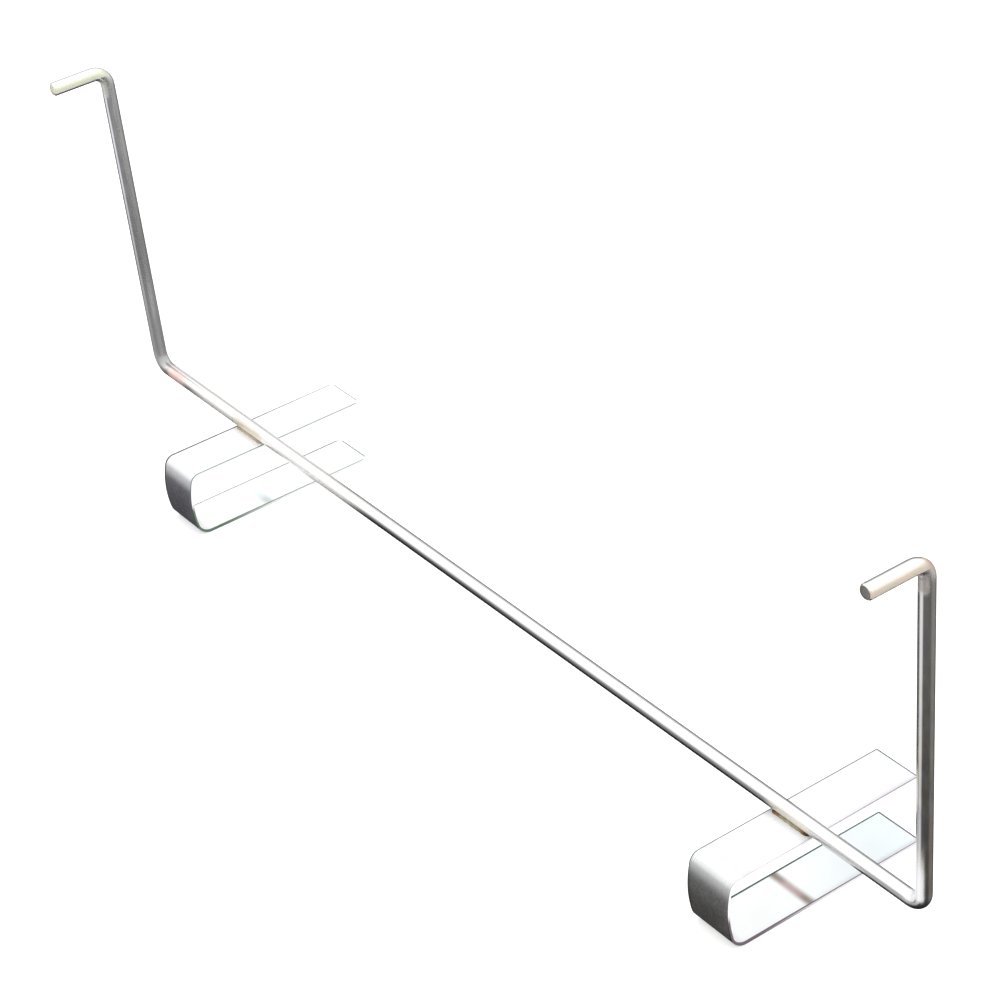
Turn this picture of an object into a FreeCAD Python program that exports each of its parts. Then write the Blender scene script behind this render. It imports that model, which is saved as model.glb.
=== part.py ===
import FreeCAD, Part
import math
import os

from FreeCAD import Vector

# A bar of bent round rod, welded across the tops of two flat-strip clips.
# The clips slide over the edge of a door leaf. The rod's ends are bent up into
# two arms, and each arm's tip is bent forward.
#
# Millimetres. +X runs along the bar, -Y is the closed front of the clips and
# the way the tips point, +Z is up. The origin is the centre of the base: half
# way along the bar, half way along the clips, and level with their underside.

# ---- driving dimensions ----
ROD_DIAMETER = 8.0
BAR_LENGTH = 680.0  # from one lower bend's corner to the other's, on the rod's axis
ARM_HEIGHT = 195.0  # from the bar's axis to the tip's axis
ARM_SPLAY = 2.0  # degrees that each arm leans outwards
TIP_LENGTH = 35.0  # from the arm's axis to the cut end
BEND_INSIDE_RADIUS = 5.0
TIP_CHAMFER = 0.9

STRIP_THICKNESS = 1.5
STRIP_WIDTH = 30.0
STRIP_EDGE_RADIUS = 0.3
CLIP_GAP = 38.0  # between the legs: a 35 mm door leaf with room to slide
CLIP_DEPTH = 121.0  # from the bulged front to the legs' ends
CLIP_TOP_RADIUS = 4.5  # inside the upper bend
CLIP_BOTTOM_RADIUS = 8.0  # inside the lower bend
CLIP_FRONT_RADIUS = 60.0  # outside of the bulged front
LEFT_LEG_CORNER_RADIUS = 4.0  # the left clip's cut corners, seen from above
RIGHT_LEG_CORNER_RADIUS = 1.0

BAR_SETBACK = 55.0  # from the clip's front to the bar's axis
LEFT_OVERHANG = 104.0  # from the left bend's corner to the left clip's middle
RIGHT_OVERHANG = 90.0

WELD_LENGTH = 27.0
WELD_REACH = 4.0  # how far a bead runs out over the strip from the line of contact
WELD_CLIMB = 46.0  # degrees that a bead climbs round the rod
WELD_ROOT = 1.1  # where a bead's inner end stops short of the line of contact
WELD_CROWN = 0.25  # how far a bead's outer face bulges
WELD_RUN_OUT = 2.5  # the length over which a bead thins out at each end
WELD_END_SHARE = 0.55  # how much of its size a bead keeps at its very end
FIT = 0.02  # left between a bead and the faces that it joins
SAME_PLACE = 1e-3  # two positions closer than this are the same one

# ---- worked-out dimensions ----
ROD_RADIUS = ROD_DIAMETER / 2
BEND_RADIUS = BEND_INSIDE_RADIUS + ROD_RADIUS
CLIP_HEIGHT = CLIP_GAP + 2 * STRIP_THICKNESS
CLIP_FRONT = -CLIP_DEPTH / 2
CLIP_REAR = CLIP_DEPTH / 2
BAR_Y = CLIP_FRONT + BAR_SETBACK
BAR_Z = CLIP_HEIGHT + ROD_RADIUS
TIP_Z = BAR_Z + ARM_HEIGHT
SPLAY_RUN = ARM_HEIGHT * math.tan(math.radians(ARM_SPLAY))
LEFT_CLIP_X = -BAR_LENGTH / 2 + LEFT_OVERHANG
RIGHT_CLIP_X = BAR_LENGTH / 2 - RIGHT_OVERHANG


def bend_arc(before, corner, after, radius):
    """The arc that rounds a corner, as its first point, middle and last point."""
    inward = (before - corner).normalize()
    outward = (after - corner).normalize()
    half = inward.getAngle(outward) / 2
    reach = radius / math.tan(half)
    towards_centre = (inward + outward).normalize()
    centre = corner + towards_centre * (radius / math.sin(half))
    middle = centre - towards_centre * radius
    return corner + inward * reach, middle, corner + outward * reach


def rounded_path(points, radius):
    """A wire along straight runs, with an arc at each inner point."""
    edges = []
    start = points[0]
    for before, corner, after in zip(points, points[1:], points[2:]):
        first, middle, last = bend_arc(before, corner, after, radius)
        edges.append(Part.makeLine(start, first))
        edges.append(Part.Arc(first, middle, last).toShape())
        start = last
    edges.append(Part.makeLine(start, points[-1]))
    return Part.Wire(edges)


def chamfer_cut_ends(rod, cut_y):
    """Breaks the sharp edge round each cut end, where the rod's face is at cut_y."""
    rims = []
    for edge in rod.Edges:
        box = edge.BoundBox
        if abs(box.YMin - cut_y) < SAME_PLACE and abs(box.YMax - cut_y) < SAME_PLACE:
            rims.append(edge)
    return rod.makeChamfer(TIP_CHAMFER, rims)


def formed_bar():
    """The one length of rod: tip, arm, bar, arm and tip."""
    half = BAR_LENGTH / 2
    tip_end_y = BAR_Y - TIP_LENGTH
    path = rounded_path(
        [
            Vector(-half - SPLAY_RUN, tip_end_y, TIP_Z),
            Vector(-half - SPLAY_RUN, BAR_Y, TIP_Z),
            Vector(-half, BAR_Y, BAR_Z),
            Vector(half, BAR_Y, BAR_Z),
            Vector(half + SPLAY_RUN, BAR_Y, TIP_Z),
            Vector(half + SPLAY_RUN, tip_end_y, TIP_Z),
        ],
        BEND_RADIUS,
    )
    start = path.OrderedVertexes[0].Point
    section = Part.Wire(Part.makeCircle(ROD_RADIUS, start, Vector(0, 1, 0)))
    rod = path.makePipeShell([section], True, True)
    return chamfer_cut_ends(rod, tip_end_y)


def clip_bend(inset, inside_radius, up):
    """One bend of a strip face in the YZ plane, as its points at the leg, half way and at the front.

    up is 1 for the upper bend and -1 for the lower one.
    """
    radius = inside_radius + STRIP_THICKNESS - inset
    rise = CLIP_HEIGHT / 2 - inset - radius
    # The bend's circle lies inside the front's circle and touches it.
    reach = CLIP_FRONT_RADIUS - inset - radius
    centre_y = CLIP_FRONT + CLIP_FRONT_RADIUS - math.sqrt(reach**2 - rise**2)
    turn = math.asin(rise / reach)

    def on_bend(angle):
        y = centre_y - radius * math.cos(angle)
        return Vector(0, y, CLIP_HEIGHT / 2 + up * (rise + radius * math.sin(angle)))

    return on_bend(math.pi / 2), on_bend((math.pi / 2 + turn) / 2), on_bend(turn)


def clip_skin(inset):
    """One face of the strip in the YZ plane, inset from the outside: top leg, front, bottom leg."""
    top_start, top_middle, top_end = clip_bend(inset, CLIP_TOP_RADIUS, 1)
    low_start, low_middle, low_end = clip_bend(inset, CLIP_BOTTOM_RADIUS, -1)
    nose = Vector(0, CLIP_FRONT + inset, CLIP_HEIGHT / 2)
    return [
        Part.makeLine(Vector(0, CLIP_REAR, top_start.z), top_start),
        Part.Arc(top_start, top_middle, top_end).toShape(),
        Part.Arc(top_end, nose, low_end).toShape(),
        Part.Arc(low_end, low_middle, low_start).toShape(),
        Part.makeLine(low_start, Vector(0, CLIP_REAR, low_start.z)),
    ]


def leg_corner_edges(clip):
    """The short upright edges at the cut ends of the legs."""
    edges = []
    for edge in clip.Edges:
        box = edge.BoundBox
        at_end = abs(box.YMin - CLIP_REAR) < SAME_PLACE and abs(box.YMax - CLIP_REAR) < SAME_PLACE
        if at_end and abs(box.ZLength - STRIP_THICKNESS) < SAME_PLACE:
            edges.append(edge)
    return edges


def strip_edges(clip, corner_radius):
    """The long edges down both sides of the strip, where its side faces meet its skins."""
    side_faces = []
    for face in clip.Faces:
        if face.BoundBox.XLength < SAME_PLACE:
            side_faces.append(face)
    edges = []
    for face in side_faces:
        for edge in face.Edges:
            if edge.BoundBox.YMin < CLIP_REAR - 2 * corner_radius:
                edges.append(edge)
    return edges


def clip(middle_x, corner_radius):
    """A length of flat strip bent into a U that lies on its side, open to the rear."""
    outside = clip_skin(0.0)
    inside = clip_skin(STRIP_THICKNESS)
    top_end = Part.makeLine(outside[0].Vertexes[0].Point, inside[0].Vertexes[0].Point)
    bottom_end = Part.makeLine(outside[-1].Vertexes[-1].Point, inside[-1].Vertexes[-1].Point)
    outline = Part.Wire(outside + [bottom_end] + inside[::-1] + [top_end])
    strip = Part.Face(outline).extrude(Vector(STRIP_WIDTH, 0, 0))
    strip.translate(Vector(-STRIP_WIDTH / 2, 0, 0))
    strip = strip.makeFillet(corner_radius, leg_corner_edges(strip))
    strip = strip.makeFillet(STRIP_EDGE_RADIUS, strip_edges(strip, corner_radius))
    strip.translate(Vector(middle_x, 0, 0))
    return strip


def bead_outline(x, side, share):
    """A bead's outline at x, before the rod is cut from it; share is how much of its full size it has."""
    radius = ROD_RADIUS + FIT
    floor = CLIP_HEIGHT + FIT

    def on_rod(angle):
        return Vector(x, BAR_Y + side * radius * math.sin(angle), BAR_Z - radius * math.cos(angle))

    climb = math.radians(WELD_CLIMB) * share
    root = math.asin(WELD_ROOT / radius)
    rod_edge = on_rod(climb)
    root_top = on_rod(root)
    root_foot = Vector(x, root_top.y, floor)
    toe = Vector(x, BAR_Y + side * WELD_REACH * share, floor)
    chord = rod_edge - toe
    outward = Vector(0, side * chord.z, -side * chord.y).normalize()
    crown = (rod_edge + toe) * 0.5 + outward * WELD_CROWN * share
    return Part.Wire(
        [
            Part.makeLine(root_foot, toe),
            Part.Arc(toe, crown, rod_edge).toShape(),
            Part.makeLine(rod_edge, root_top),
            Part.makeLine(root_top, root_foot),
        ]
    )


def weld_bead(middle_x, side):
    """A fillet of weld between the rod and a clip's top leg; side is -1 at the front, 1 at the rear."""
    half = WELD_LENGTH / 2
    full = half - WELD_RUN_OUT
    outlines = [
        bead_outline(middle_x - half, side, WELD_END_SHARE),
        bead_outline(middle_x - full, side, 1.0),
        bead_outline(middle_x + full, side, 1.0),
        bead_outline(middle_x + half, side, WELD_END_SHARE),
    ]
    rod_start = Vector(middle_x - half, BAR_Y, BAR_Z)
    rod_room = Part.makeCylinder(ROD_RADIUS + FIT, WELD_LENGTH, rod_start, Vector(1, 0, 0))
    return Part.makeLoft(outlines, True, True).cut(rod_room).Solids[0]


def build():
    nodes = {
        "formed_bar": formed_bar(),
        "left_clip": clip(LEFT_CLIP_X, LEFT_LEG_CORNER_RADIUS),
        "right_clip": clip(RIGHT_CLIP_X, RIGHT_LEG_CORNER_RADIUS),
    }
    for clip_name, middle_x in (("left", LEFT_CLIP_X), ("right", RIGHT_CLIP_X)):
        for side_name, side in (("front", -1), ("rear", 1)):
            nodes[clip_name + "_weld_" + side_name] = weld_bead(middle_x, side)
    os.makedirs("parts", exist_ok=True)
    for name, shape in nodes.items():
        shape.exportStep("parts/" + name + ".step")
        print(name, "valid", shape.isValid(), "solids", len(shape.Solids), "mm3", round(shape.Volume, 1))


build()
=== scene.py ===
"""A bent-rod bar on two flat-strip clips, in bright steel, on a pale floor."""

import math
from types import SimpleNamespace

import bmesh
import bpy
from mathutils import Matrix, Vector


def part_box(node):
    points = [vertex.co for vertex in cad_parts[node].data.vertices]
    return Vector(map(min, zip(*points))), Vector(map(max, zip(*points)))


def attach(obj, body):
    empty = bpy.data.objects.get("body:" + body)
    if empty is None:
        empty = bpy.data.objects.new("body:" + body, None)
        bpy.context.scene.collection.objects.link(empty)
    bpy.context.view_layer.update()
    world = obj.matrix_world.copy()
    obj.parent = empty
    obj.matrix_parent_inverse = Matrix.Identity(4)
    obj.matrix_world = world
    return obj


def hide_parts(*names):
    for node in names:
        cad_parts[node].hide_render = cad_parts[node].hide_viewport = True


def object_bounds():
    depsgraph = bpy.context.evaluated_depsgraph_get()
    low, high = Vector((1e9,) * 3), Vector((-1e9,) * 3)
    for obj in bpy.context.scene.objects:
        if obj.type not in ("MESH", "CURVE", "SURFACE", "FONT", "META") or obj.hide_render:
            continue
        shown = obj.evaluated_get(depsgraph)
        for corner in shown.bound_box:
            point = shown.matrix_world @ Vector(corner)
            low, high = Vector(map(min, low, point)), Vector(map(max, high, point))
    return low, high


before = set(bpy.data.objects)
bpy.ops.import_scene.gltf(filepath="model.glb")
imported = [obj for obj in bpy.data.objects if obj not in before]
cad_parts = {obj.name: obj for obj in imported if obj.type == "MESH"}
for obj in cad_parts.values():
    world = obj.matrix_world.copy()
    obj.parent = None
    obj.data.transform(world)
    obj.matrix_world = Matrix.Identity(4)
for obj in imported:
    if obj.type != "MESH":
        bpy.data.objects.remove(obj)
cad_low, cad_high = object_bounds()

MM = 0.001

# ---- the design's own sizes, in metres; everything placed comes from the CAD nodes' boxes ----
ROD_RADIUS = 4.0 * MM
BEND_RADIUS = 9.0 * MM
TIP_CHAMFER = 0.9 * MM
ARM_SPLAY = math.radians(2.0)
STRIP_THICKNESS = 1.5 * MM
STRIP_EDGE = 0.3 * MM
CLIP_TOP_BEND = 5.25 * MM  # at the middle of the strip's thickness
CLIP_LOW_BEND = 8.75 * MM
CLIP_FRONT_CURVE = 59.25 * MM
LEG_CORNERS = {"left_clip": 4.0 * MM, "right_clip": 1.0 * MM}
LEG_END_EDGE = 0.2 * MM
STRIP_EDGE_SHARE = 0.6  # the most of the strip's half thickness that a rounded edge takes
BEAD_END_LENGTH = 2.4 * MM  # over which a weld bead thins out
BEAD_END_SHARE = 0.5  # how much of its size a bead keeps at its very end
BEAD_BULGE = 0.1 * MM  # of a bead's face, before its ripples
BEAD_RIPPLE_BULGE = 0.25 * MM

# ---- how finely the meshes are divided ----
SHARP_ANGLE = math.radians(32)  # edges that turn more than this stay sharp
ROD_SIDES = 56
ROD_STEP = 6 * MM
ROD_BEND_STEPS = 20
LEG_STEPS = 30
CLIP_BEND_STEPS = 20
CLIP_FRONT_STEPS = 12
STRIP_EDGE_STEPS = 4
STRIP_FACE_STEPS = 12
BEAD_STEPS = 168
BEAD_RIPPLES = 21
BEAD_FACE_STEPS = 12
BEAD_ROOT_STEPS = 4

# Rings at each cut end of the rod, as depth and radius: its flat face and its chamfer.
CUT_END_RINGS = (
    (0.0, 0.35 * ROD_RADIUS),
    (0.0, ROD_RADIUS - TIP_CHAMFER),
    (0.06 * MM, ROD_RADIUS - TIP_CHAMFER + 0.1 * MM),
    (TIP_CHAMFER - 0.06 * MM, ROD_RADIUS - 0.1 * MM),
    (TIP_CHAMFER, ROD_RADIUS),
)
# Rings close to each leg's end: depths for the cut edge, then shares of the corner's radius.
LEG_END_DEPTHS = (0.0, 0.05 * MM, 0.13 * MM)
LEG_CORNER_SHARES = (0.08, 0.17, 0.3, 0.5, 0.75, 1.0)
CLEAR_OF_END = 1.2  # the ordinary rings start this many chamfers or corner radii from an end

# ---- the studio ----
SKY = 1.38
SKY_STOPS = (  # brightness at the sine of each elevation
    (-1.0, 0.03),
    (0.2, SKY),
    (-0.75, 0.07),
    (-0.54, 0.17),
    (-0.32, 0.32),
    (-0.08, 0.62),
    (0.06, 0.95),
)
REAR_DARK = (152.0, 0.0, 28.0, 62.0, 0.40)  # azimuth, elevation, inner, outer, how far it lifts
CARDS = (  # azimuth, elevation, degrees of full and of no strength, colour
    (243.5, -33.0, 6.0, 27.0, (0.72, 0.74, 0.80)),
    (48.0, -33.0, 10.0, 36.0, (0.12, 0.11, 0.10)),
)
FLOOR_HALF_SIZE = 12.0
FLOOR_ALBEDO = 0.9
FLOOR_GLOW = 0.3

# ---- camera: what it looks at in metres, where it stands in degrees and metres, its lens in mm ----
LOOK_AT = (0.01242, 0.00204, 0.10756)
AZIMUTH = 57.27
ELEVATION = 32.921
DISTANCE = 1.58129
ROLL = -6.309
LENS = 109.142
SENSOR_WIDTH = 36
NEAREST = 0.01

# ---- the rod's colours; a pair is blended by a noise or from the left arm's side to the right's ----
ROD_STREAKS = (0.80, 0.79, 0.78, 1), (0.88, 0.88, 0.87, 1)
LEFT_ARM_MOTTLE = (0.76, 0.76, 0.76, 1), (0.90, 0.90, 0.92, 1)
LEFT_ARM_FOOT = (0.56, 0.55, 0.55, 1)
RIGHT_ARM_HUES = (0.66, 0.60, 0.48, 1), (0.58, 0.53, 0.55, 1)
RIGHT_ARM_PALE = (0.86, 0.85, 0.81, 1)
RIGHT_ARM_TOP = (0.96, 0.94, 0.90, 1)
# The colour of the painted shade under the bar.
UNDERSIDE_SHADE = (0.02, 0.02, 0.018, 1)
RIGHT_WELD_FILM = (0.80, 0.74, 0.62, 1)
LEFT_WELD_FILM = (0.62, 0.50, 0.36, 1), (0.66, 0.62, 0.52, 1)
SALMON = (0.80, 0.48, 0.41, 1)
# Painted sheen: a cream to blush band round each tip's middle height.
TIP_SHEEN_CREAM = (0.62, 0.66, 0.50, 1), (0.58, 0.52, 0.40, 1)
TIP_SHEEN_BLUSH = (0.70, 0.66, 0.56, 1), (0.72, 0.54, 0.44, 1)
UPPER_BEND_OUTSIDE = (0.50, 0.50, 0.42, 1), (0.46, 0.28, 0.20, 1)
# Painted shade in the inner corners of the upper bends.
UPPER_BEND_INSIDE_SHADE = (0.36, 0.38, 0.32, 1), (0.20, 0.16, 0.15, 1)
# The colour of the painted highlights on the bar and by the lower right bend.
PALE = (0.88, 0.88, 0.89, 1)
DULL = (0.115, 0.115, 0.115, 1)
LEFT_CUT_END = (0.26, 0.19, 0.15, 1), (0.70, 0.68, 0.54, 1)  # at its foot and at its top
RIGHT_CUT_END = (0.14, 0.125, 0.11, 1)

# ---- where the bar's tones change along x, in metres: from and to, or centre, full and fade ----
LEFT_TO_RIGHT = -0.2, 0.2
# DARK_MIDDLE, DARK_RIGHT and DARK_LEFT place the painted shade under the bar.
DARK_MIDDLE = 0.05, 0.13, 0.15
DARK_RIGHT = 0.28, 0.32
DARK_LEFT = -0.29, -0.24
# PALE_REAR_END, PALE_FRONT and PALE_FRONT_SHARE place painted highlights on the bar.
PALE_REAR_END = -0.17, -0.12
PALE_FRONT = -0.21, 0.07, 0.04
PALE_FRONT_SHARE = 0.6
PALE_WELDS = -0.1, 0.1

# ---- how much of each tint, painted highlight, painted sheen and painted shade the rod has ----
RIGHT_WELD_AMOUNT = 0.55
LEFT_WELD_AMOUNT = 0.85
SALMON_AMOUNT = 0.7
TIP_SHEEN_AMOUNT = 0.9
UPPER_OUTSIDE_AMOUNTS = 0.3, 0.7  # left and right
UPPER_INSIDE_SHADE_AMOUNT = 0.7
HIGHLIGHT_AMOUNT = 0.85
DULL_AMOUNT = 0.7

# ---- how metallic the patches that aren't bare metal are ----
TINT_AND_PAINT_METALLIC = 0.3
CUT_END_METALLIC = 0.3
SIDE_METALLIC = 0.15
INNER_METALLIC = 0.35
TOP_METALLIC = 0.2
TOP_BEND_METALLIC = 0.55

# ---- noises: cells per metre on the laid axes, then detail and roughness ----
ROD_STREAK_NOISE = (30, 2200, 2200), 3.0, 0.6
ROD_MOTTLE_NOISE = (110, 420, 420), 3.0, 0.55
ROD_HUE_NOISE = (45, 330, 330), 2.0, 0.5
ROD_FINE_NOISE = (900, 1800, 1800), 2.0, 0.6
STRIP_GRAIN_NOISE = (2400, 60, 2400), 3.0, 0.6
STRIP_CLOUD_NOISE = (60, 40, 60), 2.0, 0.5
STRIP_SPECKLE_NOISE = (850, 850, 850), 3.0, 0.65
WELD_NOISE = (500, 700, 700), 3.0, 0.6

# ---- bump heights ----
ROD_STREAK_BUMP = 0.006 * MM
ROD_FINE_BUMP = 0.003 * MM
STRIP_GRAIN_BUMP = 0.005 * MM
WELD_BUMP = 0.03 * MM

# ---- the strip's and the welds' colours ----
STRIP_GRAIN = (0.88, 0.89, 0.90, 1), (0.94, 0.95, 0.96, 1)
# Near-black painted shade low in the middle of the closed front.
STRIP_FRONT_SHADE = (0.035, 0.033, 0.033, 1)
STRIP_TOP_BAND = (0.66, 0.62, 0.635, 1)
UPPER_SIDE = (0.88, 0.87, 0.89, 1)
WELD_OLIVE = (0.24, 0.21, 0.12, 1), (0.48, 0.42, 0.28, 1)
WELD_BROWN = (0.16, 0.08, 0.03, 1), (0.34, 0.17, 0.07, 1)
WELD_END = (0.03, 0.035, 0.03, 1)
WELD_PALE = (0.62, 0.54, 0.44, 1)

# How each clip differs. A tint at the legs' rear is a share and a colour. The front pair is the closed
# front's mottle, darkened as painted shade, and the share after it is how much near-black painted
# shade lies low on that front. A painted shadow of the bar is its share at the left and right side,
# and its core and fade in millimetres. A painted dark line is its width in millimetres at the upper
# leg's front and rear, then at the lower leg's front and rear.
LEFT_LOOK = {
    "rear": (0.3, (0.80, 0.80, 0.81, 1)),
    "inner": (1.0, 1.0, 1.0, 1),
    "inner_rear": (0.3, (0.80, 0.82, 0.81, 1)),
    "front": ((0.34, 0.33, 0.39, 1), (0.56, 0.55, 0.61, 1)),
    "front_shade": 0.38,
    "bar_shadow": (0.0, 0.6),
    "bar_shadow_size": (0.5, 4.2),
    "bar_shadow_ends": (0.40, 0.50, 0.52, 1),
    "bar_shadow_middle": (0.66, 0.78, 0.86, 1),
    "top_band": 0.0,
    "left_line": (1.3, 0.6, 0.6, 0.9),
    "right_line": (0.55, 0.4, 0.6, 0.25),
    "end_line": (0.45, 0.45, 0.6, 0.6),
    "shade": 0.3,
    "line_colors": ((0.06, 0.05, 0.06, 1), (0.05, 0.13, 0.10, 1)),
    "lower_side_shade": ((0.12, 0.16, 0.11, 1), (0.86, 0.88, 0.86, 1)),
}
RIGHT_LOOK = {
    "rear": (0.8, (0.76, 0.76, 0.80, 1)),
    "inner": (0.99, 1.0, 1.0, 1),
    "inner_rear": (0.8, (0.74, 0.80, 0.82, 1)),
    "front": ((0.34, 0.325, 0.29, 1), (0.56, 0.54, 0.50, 1)),
    "front_shade": 0.68,
    "bar_shadow": (1.0, 0.85),
    "bar_shadow_size": (0.4, 3.8),
    "bar_shadow_ends": (0.20, 0.14, 0.09, 1),
    "bar_shadow_middle": (0.44, 0.30, 0.30, 1),
    "top_band": 0.55,
    "left_line": (0.6, 0.65, 1.2, 0.9),
    "right_line": (0.0, 0.35, 0.7, 0.3),
    "end_line": (0.7, 0.7, 0.85, 0.85),
    "shade": 1.0,
    "line_colors": ((0.04, 0.09, 0.075, 1), (0.16, 0.12, 0.15, 1)),
    "lower_side_shade": ((0.14, 0.11, 0.13, 1), (0.80, 0.78, 0.82, 1)),
}


# ------------------------------------------------------------------ meshes


def finish_mesh(name, node, material, rings, verts, laid):
    """Makes the smooth piece that stands for a CAD node, from points given ring by ring.

    laid holds each point's place before bending: how far along the metal it is, and where in its
    section. Each piece's own function says in which order.
    """
    mesh = bpy.data.meshes.new(name)
    mesh.from_pydata(verts, [], tube_faces(rings, len(verts) // rings))
    attribute = mesh.attributes.new("laid", "FLOAT_VECTOR", "POINT")
    attribute.data.foreach_set("vector", [c for point in laid for c in point])
    work = bmesh.new()
    work.from_mesh(mesh)
    bmesh.ops.recalc_face_normals(work, faces=work.faces)
    for face in work.faces:
        face.smooth = True
    for edge in work.edges:
        if len(edge.link_faces) == 2 and edge.calc_face_angle() > SHARP_ANGLE:
            edge.smooth = False
    work.to_mesh(mesh)
    work.free()
    piece = bpy.data.objects.new(name, mesh)
    bpy.context.scene.collection.objects.link(piece)
    mesh.materials.append(material)
    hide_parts(node)
    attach(piece, "root")


def tube_faces(rings, around):
    """Quads between neighbouring rings, and a flat face over each end."""
    faces = []
    for i in range(rings - 1):
        for j in range(around):
            a, b = i * around + j, i * around + (j + 1) % around
            faces.append((a, b, b + around, a + around))
    faces.append(tuple(range(around)))
    faces.append(tuple(range((rings - 1) * around, rings * around)))
    return faces


def straight(start, end):
    """Points from start up to but not including end, about a step apart."""
    count = max(2, math.ceil((end - start).length / ROD_STEP))
    return [start.lerp(end, i / count) for i in range(count)]


def rounded(points, radius):
    """Points along straight runs with an arc at each inner corner."""
    path, start = [], points[0]
    for before, corner, after in zip(points, points[1:], points[2:]):
        inward, outward = (before - corner).normalized(), (after - corner).normalized()
        half = inward.angle(outward) / 2
        bisector = (inward + outward).normalized()
        centre = corner + bisector * (radius / math.sin(half))
        first = corner + inward * (radius / math.tan(half))
        last = corner + outward * (radius / math.tan(half))
        path += straight(start, first)
        axis = (first - centre).cross(last - centre).normalized()
        sweep = (first - centre).angle(last - centre)
        for i in range(ROD_BEND_STEPS):
            turn = Matrix.Rotation(sweep * i / ROD_BEND_STEPS, 3, axis)
            path.append(centre + turn @ (first - centre))
        start = last
    path += straight(start, points[-1]) + [points[-1]]
    return path


def rod_places():
    """Where the rod's axis runs: y and z of the bar, z of the tips, x of the tips and lower bends.

    front is the y of the tips' cut faces.
    """
    low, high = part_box("formed_bar")
    bar_z = low[2] + ROD_RADIUS
    tip_x, tip_z = high[0] - ROD_RADIUS, high[2] - ROD_RADIUS
    bend_x = tip_x - (tip_z - bar_z) * math.tan(ARM_SPLAY)
    return SimpleNamespace(
        front=low[1],
        bar_y=high[1] - ROD_RADIUS,
        bar_z=bar_z,
        tip_x=tip_x,
        tip_z=tip_z,
        bend_x=bend_x,
    )


def make_rod(material):
    """The one length of round rod, with its two broken cut ends."""
    rod = rod_places()
    corners = [
        Vector((-rod.tip_x, rod.front, rod.tip_z)),
        Vector((-rod.tip_x, rod.bar_y, rod.tip_z)),
        Vector((-rod.bend_x, rod.bar_y, rod.bar_z)),
        Vector((rod.bend_x, rod.bar_y, rod.bar_z)),
        Vector((rod.tip_x, rod.bar_y, rod.tip_z)),
        Vector((rod.tip_x, rod.front, rod.tip_z)),
    ]
    path = rounded(corners, BEND_RADIUS)
    tangents = []
    for i in range(len(path)):
        before, after = path[max(i - 1, 0)], path[min(i + 1, len(path) - 1)]
        tangents.append((after - before).normalized())
    # Each ring is its middle, two cross directions that turn without twist, radius and distance.
    side, distance = Vector((1, 0, 0)), 0.0
    whole = []
    for i, (point, tangent) in enumerate(zip(path, tangents)):
        if i:
            distance += (point - path[i - 1]).length
        side = (side - tangent * side.dot(tangent)).normalized()
        whole.append((point, side, tangent.cross(side), ROD_RADIUS, distance))
    length = distance
    clear = TIP_CHAMFER * CLEAR_OF_END
    rings = []
    point, u, v = whole[0][:3]
    for depth, radius in CUT_END_RINGS:
        rings.append((point + tangents[0] * depth, u, v, radius, depth))
    rings += [ring for ring in whole if clear < ring[4] < length - clear]
    point, u, v = whole[-1][:3]
    for depth, radius in reversed(CUT_END_RINGS):
        rings.append((point - tangents[-1] * depth, u, v, radius, length - depth))
    verts, laid = [], []
    for point, u, v, radius, distance in rings:
        for j in range(ROD_SIDES):
            angle = 2 * math.pi * j / ROD_SIDES
            verts.append(point + (u * math.cos(angle) + v * math.sin(angle)) * radius)
            # Along the rod, towards the inside of its wide U, and towards the front.
            laid.append((distance, math.cos(angle) * radius, math.sin(angle) * radius))
    finish_mesh("rod", "formed_bar", material, len(rings), verts, laid)


def strip_section(half_width, half_thickness, edge):
    """The strip's outline, anticlockwise, with rounded edges: (across, through) pairs."""
    outline = []
    flat = half_width - edge
    for sx, sy, begin in ((1, 1, 0), (-1, 1, 90), (-1, -1, 180), (1, -1, 270)):
        for i in range(STRIP_EDGE_STEPS + 1):
            angle = math.radians(begin + 90 * i / STRIP_EDGE_STEPS)
            across = sx * flat + edge * math.cos(angle)
            through = sy * (half_thickness - edge) + edge * math.sin(angle)
            outline.append((across, through))
        if sx == sy:
            for i in range(1, STRIP_FACE_STEPS):
                across = sx * (flat - 2 * flat * i / STRIP_FACE_STEPS)
                outline.append((across, sy * half_thickness))
    return outline


def clip_half(low, high, bend, up):
    """Half of the strip's middle line from a leg's end to the front: (y, z, angle of the outside)."""
    half = STRIP_THICKNESS / 2
    rear, front = high[1], low[1] + half
    middle_z = (low[2] + high[2]) / 2
    leg_rise = (high[2] - low[2]) / 2 - half
    rise = leg_rise - bend
    reach = CLIP_FRONT_CURVE - bend
    centre_y = front + CLIP_FRONT_CURVE
    bend_y = centre_y - math.sqrt(reach**2 - rise**2)
    turn = math.asin(rise / reach)
    points = []
    for i in range(LEG_STEPS):
        y = rear - (rear - bend_y) * i / LEG_STEPS
        points.append((y, middle_z + up * leg_rise, up * math.pi / 2))
    for i in range(CLIP_BEND_STEPS):
        angle = math.pi / 2 + (turn - math.pi / 2) * i / CLIP_BEND_STEPS
        y = bend_y - bend * math.cos(angle)
        points.append((y, middle_z + up * (rise + bend * math.sin(angle)), up * angle))
    for i in range(CLIP_FRONT_STEPS):
        angle = turn * (1 - i / CLIP_FRONT_STEPS)
        y = centre_y - CLIP_FRONT_CURVE * math.cos(angle)
        points.append((y, middle_z + up * CLIP_FRONT_CURVE * math.sin(angle), up * angle))
    return points


def clip_path(low, high):
    """The middle of the strip's thickness in the YZ plane: top leg, bulged front, lower leg."""
    nose = (low[1] + STRIP_THICKNESS / 2, (low[2] + high[2]) / 2, 0.0)
    upper = clip_half(low, high, CLIP_TOP_BEND, 1)
    lower = clip_half(low, high, CLIP_LOW_BEND, -1)
    return upper + [nose] + lower[::-1]


def rounded_off(radius, from_end):
    """How far a rounded corner of that radius lies inside its square one, at a distance from its end."""
    if from_end >= radius:
        return 0.0
    return radius - math.sqrt(radius**2 - (radius - from_end) ** 2)


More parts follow.
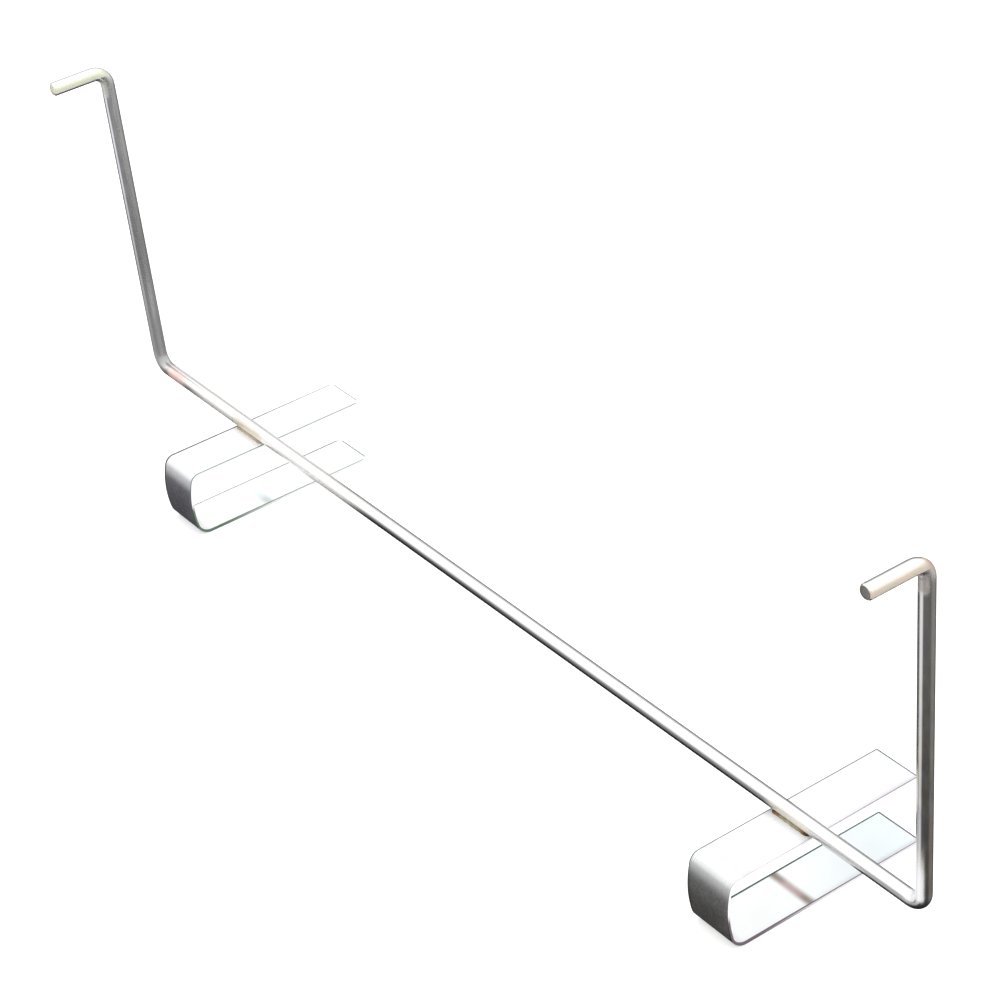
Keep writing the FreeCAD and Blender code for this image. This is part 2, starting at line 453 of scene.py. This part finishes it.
def make_clip(name, node, material):
    """A length of flat strip bent into a U, with rounded long edges and rounded leg corners."""
    low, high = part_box(node)
    clip_x = (low[0] + high[0]) / 2
    half_width = (high[0] - low[0]) / 2
    path = clip_path(low, high)
    runs = [0.0]
    for a, b in zip(path, path[1:]):
        runs.append(runs[-1] + math.hypot(b[0] - a[0], b[1] - a[1]))
    total = runs[-1]
    corner = LEG_CORNERS[node]
    depths = list(LEG_END_DEPTHS) + [corner * share for share in LEG_CORNER_SHARES]
    clear = corner * CLEAR_OF_END
    (_, top_z, top_angle), (_, low_z, low_angle) = path[0], path[-1]
    rings = [(high[1] - depth, top_z, top_angle, depth) for depth in depths]
    for (y, z, angle), run in zip(path, runs):
        if clear < run < total - clear:
            rings.append((y, z, angle, run))
    for depth in reversed(depths):
        rings.append((high[1] - depth, low_z, low_angle, total - depth))
    verts, laid = [], []
    for y, z, angle, run in rings:
        from_end = min(run, total - run)
        width = half_width - rounded_off(corner, from_end)
        thick = STRIP_THICKNESS / 2 - rounded_off(LEG_END_EDGE, from_end)
        edge = min(STRIP_EDGE, thick * STRIP_EDGE_SHARE)
        outward_y, outward_z = -math.cos(angle), math.sin(angle)
        for across, through in strip_section(width, thick, edge):
            place = (clip_x + across, y + outward_y * through, z + outward_z * through)
            verts.append(Vector(place))
            # Across the strip, along it from the upper leg's end, and through it towards the outside.
            laid.append((across, run, through))
    finish_mesh(name, node, material, len(rings), verts, laid)


def make_bead(name, node, material):
    """A weld fillet laid in small overlapping ripples."""
    low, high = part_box(node)
    rod = rod_places()
    side = -1 if (low[1] + high[1]) / 2 < rod.bar_y else 1
    root_reach, toe_reach = sorted((abs(low[1] - rod.bar_y), abs(high[1] - rod.bar_y)))
    radius = rod.bar_z - low[2]
    top_angle = math.acos((rod.bar_z - high[2]) / radius)
    root_angle = math.asin(root_reach / radius)
    length = high[0] - low[0]

    def on_rod(angle):
        return radius * math.sin(angle), radius * (1 - math.cos(angle))

    def section(share):
        """The bead's outline at a share of its length, as (reach, rise) from the line of contact."""
        from_end = min(share, 1 - share) * length
        into_bead = math.sin(min(1.0, from_end / BEAD_END_LENGTH) * math.pi / 2)
        fade = BEAD_END_SHARE + (1 - BEAD_END_SHARE) * into_bead
        wobble = 0.5 + 0.25 * math.sin(share * 23 + side) + 0.25 * math.sin(share * 41 + 2 * side)
        phase = (share * BEAD_RIPPLES + 0.12 * math.sin(share * 19)) % 1.0
        ripple = math.sqrt(1 - (2 * phase - 1) ** 2 * 0.96)
        toe = root_reach + (toe_reach - root_reach) * fade * (0.9 + 0.1 * wobble)
        climb = top_angle * fade * (0.93 + 0.07 * wobble)
        crown = (BEAD_BULGE + BEAD_RIPPLE_BULGE * ripple) * fade
        edge_reach, edge_rise = on_rod(climb)
        chord = (edge_reach - toe, edge_rise)
        size = math.hypot(*chord)
        normal = (chord[1] / size, -chord[0] / size)
        outline = []
        for j in range(BEAD_FACE_STEPS + 1):
            t = j / BEAD_FACE_STEPS
            bulge = crown * 4 * t * (1 - t)
            reach = toe + chord[0] * t + normal[0] * bulge
            outline.append((reach, chord[1] * t + normal[1] * bulge))
        for j in range(1, BEAD_ROOT_STEPS + 1):
            outline.append(on_rod(climb + (root_angle - climb) * j / BEAD_ROOT_STEPS))
        outline.append((root_reach, 0.0))
        return outline

    verts, laid = [], []
    for i in range(BEAD_STEPS + 1):
        run = length * i / BEAD_STEPS
        for reach, rise in section(i / BEAD_STEPS):
            verts.append(Vector((low[0] + run, rod.bar_y + side * reach, low[2] + rise)))
            # Along the bead, out from the line of contact, and up.
            laid.append((run, reach, rise))
    finish_mesh(name, node, material, BEAD_STEPS + 1, verts, laid)


# ------------------------------------------------------------------ materials


class Nodes:
    """Short calls for building one material's node tree."""

    def __init__(self, name):
        self.material = bpy.data.materials.new(name)
        self.material.use_nodes = True
        self.tree = self.material.node_tree
        self.shader = self.tree.nodes["Principled BSDF"]

    def add(self, kind, **settings):
        node = self.tree.nodes.new(kind)
        for key, value in settings.items():
            setattr(node, key, value)
        return node

    def put(self, value, socket):
        if isinstance(value, (int, float, tuple)):
            socket.default_value = value
        else:
            self.tree.links.new(value, socket)

    def math(self, operation, a, b=0.0):
        node = self.add("ShaderNodeMath", operation=operation)
        for value, socket in zip((a, b), node.inputs):
            self.put(value, socket)
        return node.outputs[0]

    def sum(self, a, b):
        return self.math("ADD", a, b)

    def gap(self, a, b):
        return self.math("SUBTRACT", a, b)

    def most(self, *values):
        """The largest of the values."""
        total = values[0]
        for value in values[1:]:
            total = self.math("MAXIMUM", total, value)
        return total

    def least(self, *values):
        total = values[0]
        for value in values[1:]:
            total = self.math("MINIMUM", total, value)
        return total

    def both(self, *masks):
        """All of the masks at once."""
        total = masks[0]
        for mask in masks[1:]:
            total = self.math("MULTIPLY", total, mask)
        return total

    def ramp(self, value, low, high, to_low=0.0, to_high=1.0):
        """Runs smoothly from to_low at low to to_high at high."""
        node = self.add("ShaderNodeMapRange", interpolation_type="SMOOTHSTEP")
        for v, socket in zip((value, low, high, to_low, to_high), node.inputs):
            self.put(v, socket)
        return node.outputs[0]

    def fall(self, value, low, high, to_high=0.0):
        """Runs smoothly down from 1 at low."""
        return self.ramp(value, low, high, 1.0, to_high)

    def without(self, mask, left=0.0):
        """1 outside a mask and left inside it."""
        return self.fall(mask, 0.0, 1.0, left)

    def near(self, value, centre, full, fade):
        """1 where value is within full of centre, falling smoothly to 0 over fade beyond it."""
        return self.fall(self.math("ABSOLUTE", self.gap(value, centre)), full, full + fade)

    def mix(self, share, a, b):
        node = self.add("ShaderNodeMix", data_type="RGBA")
        self.put(share, node.inputs[0])
        self.put(a, node.inputs[6])
        self.put(b, node.inputs[7])
        return node.outputs[2]

    def noise(self, where, stretch, detail, rough):
        """Noise whose scale along each axis is stretch, in cells per metre."""
        mapping = self.add("ShaderNodeMapping")
        self.put(where, mapping.inputs[0])
        mapping.inputs["Scale"].default_value = stretch
        node = self.add("ShaderNodeTexNoise")
        self.put(mapping.outputs[0], node.inputs["Vector"])
        self.put(1.0, node.inputs["Scale"])
        self.put(detail, node.inputs["Detail"])
        self.put(rough, node.inputs["Roughness"])
        return node.outputs["Fac"]

    def laid(self):
        return self.add("ShaderNodeAttribute", attribute_name="laid").outputs["Vector"]

    def place(self):
        return self.split(self.add("ShaderNodeTexCoord").outputs["Object"])

    def split(self, vector):
        node = self.add("ShaderNodeSeparateXYZ")
        self.put(vector, node.inputs[0])
        return node.outputs

    def bump(self, height, distance, under=None):
        node = self.add("ShaderNodeBump")
        self.put(height, node.inputs["Height"])
        self.put(distance, node.inputs["Distance"])
        self.put(1.0, node.inputs["Strength"])
        if under is not None:
            self.put(under, node.inputs["Normal"])
        return node.outputs[0]

    def metal(self, color, roughness, normal, metallic=1.0):
        self.put(metallic, self.shader.inputs["Metallic"])
        self.put(color, self.shader.inputs["Base Color"])
        self.put(roughness, self.shader.inputs["Roughness"])
        self.put(normal, self.shader.inputs["Normal"])
        return self.material


class TintsAndPaintedLight:
    """Tints, and painted highlights, sheen and shade, over bright metal, built up patch by patch: how
    much there is, and its colour.
    """

    def __init__(self, n, mask, amount, color):
        self.n = n
        self.amount = n.both(mask, amount)
        self.color = color

    def add(self, mask, amount, color, full_color_at=None):
        """Lays down one patch. Its colour is full where the mask is 1, or reaches full_color_at."""
        self.amount = self.n.most(self.amount, self.n.both(mask, amount))
        share = mask if full_color_at is None else self.n.ramp(mask, 0.0, full_color_at)
        self.color = self.n.mix(share, self.color, color)


def middle_x(node):
    low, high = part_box(node)
    return (low[0] + high[0]) / 2


def rod_metal_color(n, rod, place, noises):
    """The rod's bare metal: streaked bar with painted shade on its underside, and duller, mottled arms.
    """
    x, y, z = place
    color = n.mix(n.ramp(noises.streaks, 0.3, 0.7), *ROD_STREAKS)

    # The left arm is grey, and darker towards its foot. The right one is olive, brown and violet.
    on_arm = n.both(
        n.ramp(z, rod.bar_z + 4 * MM, rod.bar_z + 14 * MM),
        n.fall(z, rod.tip_z - 12 * MM, rod.tip_z - 6 * MM),
    )
    warm = n.mix(n.ramp(noises.hue, 0.38, 0.62), *RIGHT_ARM_HUES)
    warm = n.mix(n.ramp(noises.mottle, 0.3, 0.7, 0.0, 0.55), warm, RIGHT_ARM_PALE)
    upper_arm = n.ramp(z, rod.bar_z + 70 * MM, rod.tip_z - 30 * MM, 0.0, 0.6)
    warm = n.mix(upper_arm, warm, RIGHT_ARM_TOP)
    grey = n.mix(n.ramp(noises.mottle, 0.3, 0.7), *LEFT_ARM_MOTTLE)
    foot = n.ramp(z, rod.bar_z + 60 * MM, rod.bar_z + 160 * MM, 0.9, 0.0)
    grey = n.mix(foot, grey, LEFT_ARM_FOOT)
    color = n.mix(on_arm, color, n.mix(noises.to_right, grey, warm))

    # The bar's underside carries painted shade, darkest in the middle of its length.
    below = n.fall(z, rod.bar_z - 0.15 * ROD_RADIUS, rod.bar_z + 0.85 * ROD_RADIUS)
    share = n.most(
        n.ramp(n.near(x, *DARK_MIDDLE), 0.0, 1.0, 0.25, 0.97),
        n.ramp(x, *DARK_RIGHT, 0.0, 0.6),
        n.ramp(x, *DARK_LEFT, 0.6, 0.0),
    )
    return n.mix(n.both(below, share), color, UNDERSIDE_SHADE)


def rod_tints_and_painted_light(n, rod, place, noises):
    """The oxide film by the welds, past the left bend and on the upper bends' outsides; a painted sheen
    round the tips; painted shade in the upper bends' inner corners.
    """
    x, y, z = place
    front = n.fall(y, rod.bar_y - 0.95 * ROD_RADIUS, rod.bar_y - 0.15 * ROD_RADIUS)
    low_down = n.fall(z, rod.bar_z + 4 * MM, rod.bar_z + 9 * MM)
    right_weld = n.both(n.near(x, middle_x("right_weld_front"), 11 * MM, 9 * MM), front, low_down)
    tints_and_light = TintsAndPaintedLight(n, right_weld, RIGHT_WELD_AMOUNT, RIGHT_WELD_FILM)
    left_weld = n.both(n.near(x, middle_x("left_weld_front"), 12 * MM, 7 * MM), front, low_down)
    left_color = n.mix(n.ramp(noises.mottle, 0.35, 0.65), *LEFT_WELD_FILM)
    tints_and_light.add(left_weld, LEFT_WELD_AMOUNT, left_color)
    past_bend = n.both(
        n.near(x, 22 * MM - rod.bend_x, 2 * MM, 19 * MM),
        n.fall(y, rod.bar_y - 1.0 * ROD_RADIUS, rod.bar_y + 0.7 * ROD_RADIUS),
        n.ramp(z, rod.bar_z - 0.75 * ROD_RADIUS, rod.bar_z - 0.1 * ROD_RADIUS),
        low_down,
    )
    tints_and_light.add(past_bend, SALMON_AMOUNT, SALMON, full_color_at=0.3)
    # Painted sheen: a cream to blush band round each tip's middle height, short of its cut face.
    tip_sheen = n.both(
        n.ramp(z, rod.tip_z - 2.4 * MM, rod.tip_z - 1.0 * MM),
        n.fall(z, rod.tip_z + 1.2 * MM, rod.tip_z + 3.9 * MM),
        n.ramp(y, rod.front + 0.1 * MM, rod.front + 0.3 * MM),
    )
    cream = n.mix(noises.to_right, *TIP_SHEEN_CREAM)
    blush = n.mix(noises.to_right, *TIP_SHEEN_BLUSH)
    tip_color = n.mix(n.ramp(noises.hue, 0.4, 0.65, 0.0, 0.7), cream, blush)
    tints_and_light.add(tip_sheen, TIP_SHEEN_AMOUNT, tip_color)
    outside = n.both(
        n.ramp(z, rod.tip_z - 13 * MM, rod.tip_z - 2 * MM),
        n.ramp(y, rod.bar_y - 5 * MM, rod.bar_y + 1 * MM),
    )
    outside_amount = n.ramp(noises.to_right, 0.0, 1.0, *UPPER_OUTSIDE_AMOUNTS)
    tints_and_light.add(outside, outside_amount, n.mix(noises.to_right, *UPPER_BEND_OUTSIDE))
    # Painted shade in the inner corner of each upper bend, below the tip and in front of the arm.
    inside = n.both(
        n.near(z, rod.tip_z - 10 * MM, 3 * MM, 5 * MM),
        n.fall(y, rod.bar_y - 3.5 * MM, rod.bar_y - 0.5 * MM),
    )
    tints_and_light.add(inside, UPPER_INSIDE_SHADE_AMOUNT, n.mix(noises.to_right, *UPPER_BEND_INSIDE_SHADE))
    tints_and_light.amount = n.both(tints_and_light.amount, n.ramp(noises.mottle, 0.2, 0.6, 0.8, 1.0))
    return tints_and_light, left_weld


def rod_painted_highlight_mask(n, rod, place, laid, left_weld):
    """Painted highlights: pale stretches on the bar left of its middle, and on the inner side of the
    lower right bend.
    """
    x, y, z = place
    rear = n.both(
        n.fall(x, *PALE_REAR_END),
        n.ramp(x, 3 * MM - rod.bend_x, 13 * MM - rod.bend_x),
        n.ramp(y, rod.bar_y, rod.bar_y + 0.6 * ROD_RADIUS),
    )
    forward_half = n.fall(y, rod.bar_y - 0.2 * ROD_RADIUS, rod.bar_y + 0.4 * ROD_RADIUS)
    front = n.both(
        n.near(x, *PALE_FRONT),
        forward_half,
        n.without(left_weld),
        PALE_FRONT_SHARE,
    )
    low_down = n.fall(z, rod.bar_z + 4 * MM, rod.bar_z + 9 * MM)
    on_bar = n.both(n.most(rear, front), low_down)

    # How far a point lies towards the inside of the rod's wide U, and towards the front.
    inward, forward = n.split(laid)[1:]
    at_bend = n.ramp(x, rod.tip_x - 20 * MM, rod.tip_x - 12 * MM)
    inner_side = n.both(
        n.ramp(inward, 0.1 * ROD_RADIUS, 0.6 * ROD_RADIUS),
        n.fall(z, rod.bar_z + 14 * MM, rod.bar_z + 26 * MM),
    )
    front_side = n.both(
        n.ramp(z, rod.bar_z + 3 * MM, rod.bar_z + 8 * MM),
        n.fall(z, rod.bar_z + 16 * MM, rod.bar_z + 48 * MM),
        n.ramp(forward, 0.5 * ROD_RADIUS, 0.9 * ROD_RADIUS),
    )
    return n.most(on_bar, n.both(at_bend, n.most(inner_side, front_side)))


def rod_material():
    """Bright drawn rod: streaks along it, dull mottled arms, heat tints, painted shade under the bar and
    in the upper bends, painted highlights, and a painted sheen on the tips.
    """
    rod = rod_places()
    n = Nodes("bright_drawn_rod")
    laid, place = n.laid(), n.place()
    x, y, z = place
    noises = SimpleNamespace(
        streaks=n.noise(laid, *ROD_STREAK_NOISE),
        mottle=n.noise(laid, *ROD_MOTTLE_NOISE),
        hue=n.noise(laid, *ROD_HUE_NOISE),
        fine=n.noise(laid, *ROD_FINE_NOISE),
        to_right=n.ramp(x, *LEFT_TO_RIGHT),
    )
    color = rod_metal_color(n, rod, place, noises)
    tints_and_light, left_weld = rod_tints_and_painted_light(n, rod, place, noises)
    pale = rod_painted_highlight_mask(n, rod, place, laid, left_weld)
    # Painted highlights: pale stretches on the bar and by the lower right bend.
    color = n.mix(pale, color, PALE)
    tints_and_light.add(pale, HIGHLIGHT_AMOUNT, PALE)

    # The lower left bend and the left arm's foot are dull.
    dull = n.both(
        n.fall(x, 2 * MM - rod.bend_x, 16 * MM - rod.bend_x),
        n.fall(z, rod.bar_z + 8 * MM, rod.bar_z + 90 * MM, 0.25),
        n.fall(z, rod.bar_z + 90 * MM, rod.bar_z + 150 * MM),
    )
    tints_and_light.add(dull, DULL_AMOUNT, DULL, full_color_at=0.25)
    color = n.mix(tints_and_light.amount, color, tints_and_light.color)

    cut_end = n.fall(y, rod.front + 0.1 * MM, rod.front + 0.3 * MM)
    left_end = n.mix(n.ramp(z, rod.tip_z - 3 * MM, rod.tip_z - 1 * MM), *LEFT_CUT_END)
    color = n.mix(cut_end, color, n.mix(noises.to_right, left_end, RIGHT_CUT_END))

    streak_rough = n.ramp(noises.streaks, 0.2, 0.8, 0.1, 0.16)
    rough = n.sum(streak_rough, n.ramp(noises.mottle, 0.3, 0.8, 0.0, 0.08))
    rough = n.sum(rough, n.both(tints_and_light.amount, 0.2))
    metallic = n.least(
        n.without(tints_and_light.amount, TINT_AND_PAINT_METALLIC),
        n.without(cut_end, CUT_END_METALLIC),
    )
    normal = n.bump(noises.streaks, ROD_STREAK_BUMP)
    normal = n.bump(noises.fine, ROD_FINE_BUMP, under=normal)
    return n.metal(color, rough, normal, metallic)


def strip_places(n, node):
    """Where a point of a clip is, and masks for the strip's skins and stretches."""
    low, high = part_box(node)
    laid = n.laid()
    across, _, through = n.split(laid)
    _, y, z = n.place()
    middle_z = (low[2] + high[2]) / 2
    inner = n.fall(through, -0.5 * MM, -0.3 * MM)
    return SimpleNamespace(
        front_y=low[1],
        rear_y=high[1],
        low_z=low[2],
        top_z=high[2],
        half_width=(high[0] - low[0]) / 2,
        laid=laid,
        across=across,
        through=through,
        y=y,
        z=z,
        is_lower=n.fall(z, middle_z - 3 * MM, middle_z + 3 * MM),
        to_rear=n.ramp(y, low[1] + 20 * MM, high[1]),
        inner=inner,
        outer=n.without(inner),
    )


def strip_skin_color(n, at, look, noises):
    """The strip's two skins, and the closed front, which is mottled and darkened with painted shade."""
    color = n.mix(n.ramp(noises.grain, 0.3, 0.7), *STRIP_GRAIN)
    rear_share, rear_color = look["rear"]
    color = n.mix(n.both(at.to_rear, rear_share), color, rear_color)
    rear_share, rear_color = look["inner_rear"]
    inner_color = n.mix(n.both(at.to_rear, rear_share), look["inner"], rear_color)
    color = n.mix(at.inner, color, inner_color)
    # Painted shade over the closed front's mottle, lighter near the top bend.
    front = n.both(
        n.fall(at.y, at.front_y + 3 * MM, at.front_y + 8 * MM),
        n.fall(at.z, at.top_z - 14 * MM, at.top_z - 3 * MM, 0.15),
        at.outer,
    )
    color = n.mix(front, color, n.mix(n.ramp(noises.speckle, 0.3, 0.7), *look["front"]))
    # Near-black painted shade low in the middle of the closed front.
    front_shade = n.both(
        n.fall(at.y, at.front_y + 3 * MM, at.front_y + 9 * MM),
        n.near(at.z, at.low_z + 26 * MM, 5 * MM, 14 * MM),
        at.outer,
    )
    return n.mix(n.both(front_shade, look["front_shade"]), color, STRIP_FRONT_SHADE)


def strip_bands(n, at, look, noises, color):
    """Soft bands: a painted shadow of the bar across the lower leg's inner skin, and a pinkish-grey band
    across the upper leg by the top bend.
    """
    core, fade = look["bar_shadow_size"]
    # A painted shadow of the bar across the lower leg's inner skin, just in front of the bar.
    bar_shadow = n.both(
        n.near(at.y, rod_places().bar_y - 4 * MM, core * MM, fade * MM),
        n.ramp(at.is_lower, 0.4, 1.0),
        at.inner,
        n.ramp(noises.cloudy, 0.2, 0.6, 0.8, 1.0),
        n.ramp(at.across, -at.half_width, at.half_width, *look["bar_shadow"]),
    )
    in_middle = n.near(at.across, 0.0, 3 * MM, 8 * MM)
    color = n.mix(bar_shadow, color, n.mix(in_middle, look["bar_shadow_ends"], look["bar_shadow_middle"]))
    # A soft pinkish-grey band across the upper leg, near the top bend.
    top_band = n.both(
        n.near(at.y, at.front_y + 13.5 * MM, 1.5 * MM, 4.5 * MM),
        n.fall(at.is_lower, 0.0, 0.5),
        look["top_band"],
    )
    return n.mix(top_band, color, STRIP_TOP_BAND)


def strip_painted_edge_lines(n, at, look):
    """Painted dark lines beside the sheared edges and the legs' cut ends, and a painted soft shade at
    the right.
    """

    def line(from_edge, top_front, top_rear, low_front, low_rear):
        ends = (at.front_y + 20 * MM, at.rear_y)
        top = n.ramp(at.y, *ends, top_front * MM, top_rear * MM)
        lower = n.ramp(at.y, *ends, low_front * MM, low_rear * MM)
        width = n.sum(top, n.both(n.gap(lower, top), at.is_lower))
        return n.fall(n.gap(from_edge, width), 0.0, 0.3 * MM)

    from_right = n.gap(at.half_width, at.across)
    shade = n.both(
        n.ramp(from_right, 0.0, 4 * MM, 0.3, 0.0),
        n.ramp(at.to_rear, 0.0, 1.0, 0.3, 1.0),
        look["shade"],
    )
    return n.most(
        line(n.sum(at.across, at.half_width), *look["left_line"]),
        line(from_right, *look["right_line"]),
        line(n.gap(at.rear_y, at.y), *look["end_line"]),
        shade,
    )


def strip_material(name, node, look):
    """Bright strip grained along it, with painted edge lines, painted shade and a painted shadow of the
    bar.
    """
    n = Nodes(name)
    at = strip_places(n, node)
    noises = SimpleNamespace(
        grain=n.noise(at.laid, *STRIP_GRAIN_NOISE),
        cloudy=n.noise(at.laid, *STRIP_CLOUD_NOISE),
        speckle=n.noise(at.laid, *STRIP_SPECKLE_NOISE),
    )
    color = strip_skin_color(n, at, look, noises)
    color = strip_bands(n, at, look, noises, color)
    left_to_right = n.ramp(at.across, -0.5 * at.half_width, 0.5 * at.half_width)
    # The painted dark lines by the edges go from the left edge's colour to the right edge's.
    line_color = n.mix(left_to_right, *look["line_colors"])
    color = n.mix(strip_painted_edge_lines(n, at, look), color, line_color)

    # The sheared side faces are dull, and darkened with painted shade round the lower bend.
    side = n.fall(n.math("ABSOLUTE", at.through), 0.5 * MM, 0.7 * MM)
    past_bend = n.ramp(at.y, at.front_y + 15 * MM, at.front_y + 70 * MM)
    side_color = n.mix(at.is_lower, UPPER_SIDE, n.mix(past_bend, *look["lower_side_shade"]))
    color = n.mix(side, color, side_color)

    grain_rough = n.ramp(noises.grain, 0.2, 0.8, 0.24, 0.32)
    rough = n.sum(grain_rough, n.ramp(noises.cloudy, 0.3, 0.8, 0.0, 0.06))
    rough = n.sum(rough, n.both(at.inner, 0.12))
    rough = n.most(rough, n.both(side, 0.7))
    on_top = n.both(at.outer, n.ramp(at.z, at.top_z - 1.0 * MM, at.top_z - 0.2 * MM))
    at_bend = n.both(
        at.outer,
        n.fall(at.y, at.front_y + 4 * MM, at.front_y + 9 * MM),
        n.ramp(at.z, at.top_z - 13 * MM, at.top_z - 5 * MM),
    )
    metallic = n.least(
        n.without(side, SIDE_METALLIC),
        n.without(at.inner, INNER_METALLIC),
        n.without(on_top, TOP_METALLIC),
        n.without(at_bend, TOP_BEND_METALLIC),
    )
    return n.metal(color, rough, n.bump(noises.grain, STRIP_GRAIN_BUMP), metallic)


def weld_material():
    """Unground weld: olive in the middle, brown and then nearly black towards both ends."""
    low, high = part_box("right_weld_front")
    length = high[0] - low[0]
    n = Nodes("weld_bead")
    laid = n.laid()
    run, x = n.split(laid)[0], n.place()[0]
    cloudy = n.noise(laid, *WELD_NOISE)
    cloud = n.ramp(cloudy, 0.3, 0.7)
    from_middle = n.math("ABSOLUTE", n.gap(run, length / 2))
    brown_share = n.ramp(from_middle, length * 0.2, length * 0.36)
    color = n.mix(brown_share, n.mix(cloud, *WELD_OLIVE), n.mix(cloud, *WELD_BROWN))
    color = n.mix(n.ramp(from_middle, length * 0.36, length * 0.47), color, WELD_END)
    # The left clip's welds are paler.
    color = n.mix(n.ramp(x, *PALE_WELDS, 0.5, 0.0), color, WELD_PALE)
    return n.metal(color, n.ramp(cloudy, 0.2, 0.8, 0.35, 0.55), n.bump(cloudy, WELD_BUMP))


def build_object():
    weld = weld_material()
    make_rod(rod_material())
    for side, look in (("left", LEFT_LOOK), ("right", RIGHT_LOOK)):
        strip = strip_material(side + "_polished_strip", side + "_clip", look)
        make_clip(side + "_strip_clip", side + "_clip", strip)
        for face in ("front", "rear"):
            make_bead(side + "_bead_" + face, side + "_weld_" + face, weld)


# ------------------------------------------------------------------ studio


def direction(azimuth, elevation):
    """A unit vector from degrees, with azimuth from +X towards +Y."""
    a, e = math.radians(azimuth), math.radians(elevation)
    return (math.cos(a) * math.cos(e), math.sin(a) * math.cos(e), math.sin(e))


def make_world():
    """A white studio above, darker below, with a dark stretch low at the rear and two low cards."""
    world = bpy.data.worlds.new("studio")
    bpy.context.scene.world = world
    world.use_nodes = True
    tree = world.node_tree
    background = tree.nodes["Background"]
    where = tree.nodes.new("ShaderNodeTexCoord").outputs["Generated"]

    def spot(azimuth, elevation, inner, outer, value):
        """value within inner degrees of a direction, falling smoothly to 0 at outer degrees."""
        dot = tree.nodes.new("ShaderNodeVectorMath")
        dot.operation = "DOT_PRODUCT"
        tree.links.new(where, dot.inputs[0])
        dot.inputs[1].default_value = direction(azimuth, elevation)
        soft = tree.nodes.new("ShaderNodeMapRange")
        soft.interpolation_type = "SMOOTHSTEP"
        tree.links.new(dot.outputs["Value"], soft.inputs[0])
        soft.inputs[1].default_value = math.cos(math.radians(outer))
        soft.inputs[2].default_value = math.cos(math.radians(inner))
        soft.inputs[4].default_value = value
        return soft.outputs[0]

    split = tree.nodes.new("ShaderNodeSeparateXYZ")
    tree.links.new(where, split.inputs[0])
    height = tree.nodes.new("ShaderNodeMath")
    height.operation = "SUBTRACT"
    tree.links.new(split.outputs[2], height.inputs[0])
    tree.links.new(spot(*REAR_DARK), height.inputs[1])
    scaled = tree.nodes.new("ShaderNodeMapRange")
    scaled.inputs[1].default_value = -1.0
    tree.links.new(height.outputs[0], scaled.inputs[0])
    ramp = tree.nodes.new("ShaderNodeValToRGB")
    tree.links.new(scaled.outputs[0], ramp.inputs[0])
    band = ramp.color_ramp
    # The ramp starts with two stops of its own, which take the first two values.
    for i, (z, value) in enumerate(SKY_STOPS):
        stop = band.elements[i] if i < 2 else band.elements.new((z + 1) / 2)
        stop.position = (z + 1) / 2
        stop.color = (value, value, value, 1)
    total = ramp.outputs[0]
    for azimuth, elevation, inner, outer, color in CARDS:
        add = tree.nodes.new("ShaderNodeVectorMath")
        add.operation = "MULTIPLY_ADD"
        tree.links.new(spot(azimuth, elevation, inner, outer, 1.0), add.inputs[0])
        add.inputs[1].default_value = color
        tree.links.new(total, add.inputs[2])
        total = add.outputs[0]
    tree.links.new(total, background.inputs[0])


def make_floor():
    mesh = bpy.data.meshes.new("floor")
    size = FLOOR_HALF_SIZE
    corners = [(-size, -size, 0), (size, -size, 0), (size, size, 0), (-size, size, 0)]
    mesh.from_pydata(corners, [], [(0, 1, 2, 3)])
    floor = bpy.data.objects.new("floor", mesh)
    floor.location.z = cad_low[2]
    bpy.context.scene.collection.objects.link(floor)
    material = bpy.data.materials.new("pale_floor")
    material.use_nodes = True
    shader = material.node_tree.nodes["Principled BSDF"]
    shader.inputs["Base Color"].default_value = (FLOOR_ALBEDO, FLOOR_ALBEDO, FLOOR_ALBEDO, 1)
    shader.inputs["Roughness"].default_value = 1.0
    shader.inputs["Specular IOR Level"].default_value = 0.0
    shader.inputs["Emission Color"].default_value = (1, 1, 1, 1)
    shader.inputs["Emission Strength"].default_value = FLOOR_GLOW
    mesh.materials.append(material)
    # The floor is left out of mirror reflections, so bright steel shows the studio's dark lower half.
    floor.visible_glossy = False


def aim_camera():
    azimuth, elevation = math.radians(AZIMUTH), math.radians(ELEVATION)
    back = Vector(
        (
            math.sin(azimuth) * math.cos(elevation),
            -math.cos(azimuth) * math.cos(elevation),
            math.sin(elevation),
        )
    )
    camera = bpy.data.objects.new("camera", bpy.data.cameras.new("camera"))
    bpy.context.scene.collection.objects.link(camera)
    turn = (-back).to_track_quat("-Z", "Y").to_matrix().to_4x4()
    roll = Matrix.Rotation(math.radians(ROLL), 4, "Z")
    camera.matrix_world = Matrix.Translation(Vector(LOOK_AT) + back * DISTANCE) @ turn @ roll
    camera.data.lens = LENS
    camera.data.sensor_width = SENSOR_WIDTH
    camera.data.clip_start = NEAREST
    bpy.context.scene.camera = camera


build_object()
make_world()
make_floor()
aim_camera()
bpy.context.scene.view_settings.view_transform = "Standard"
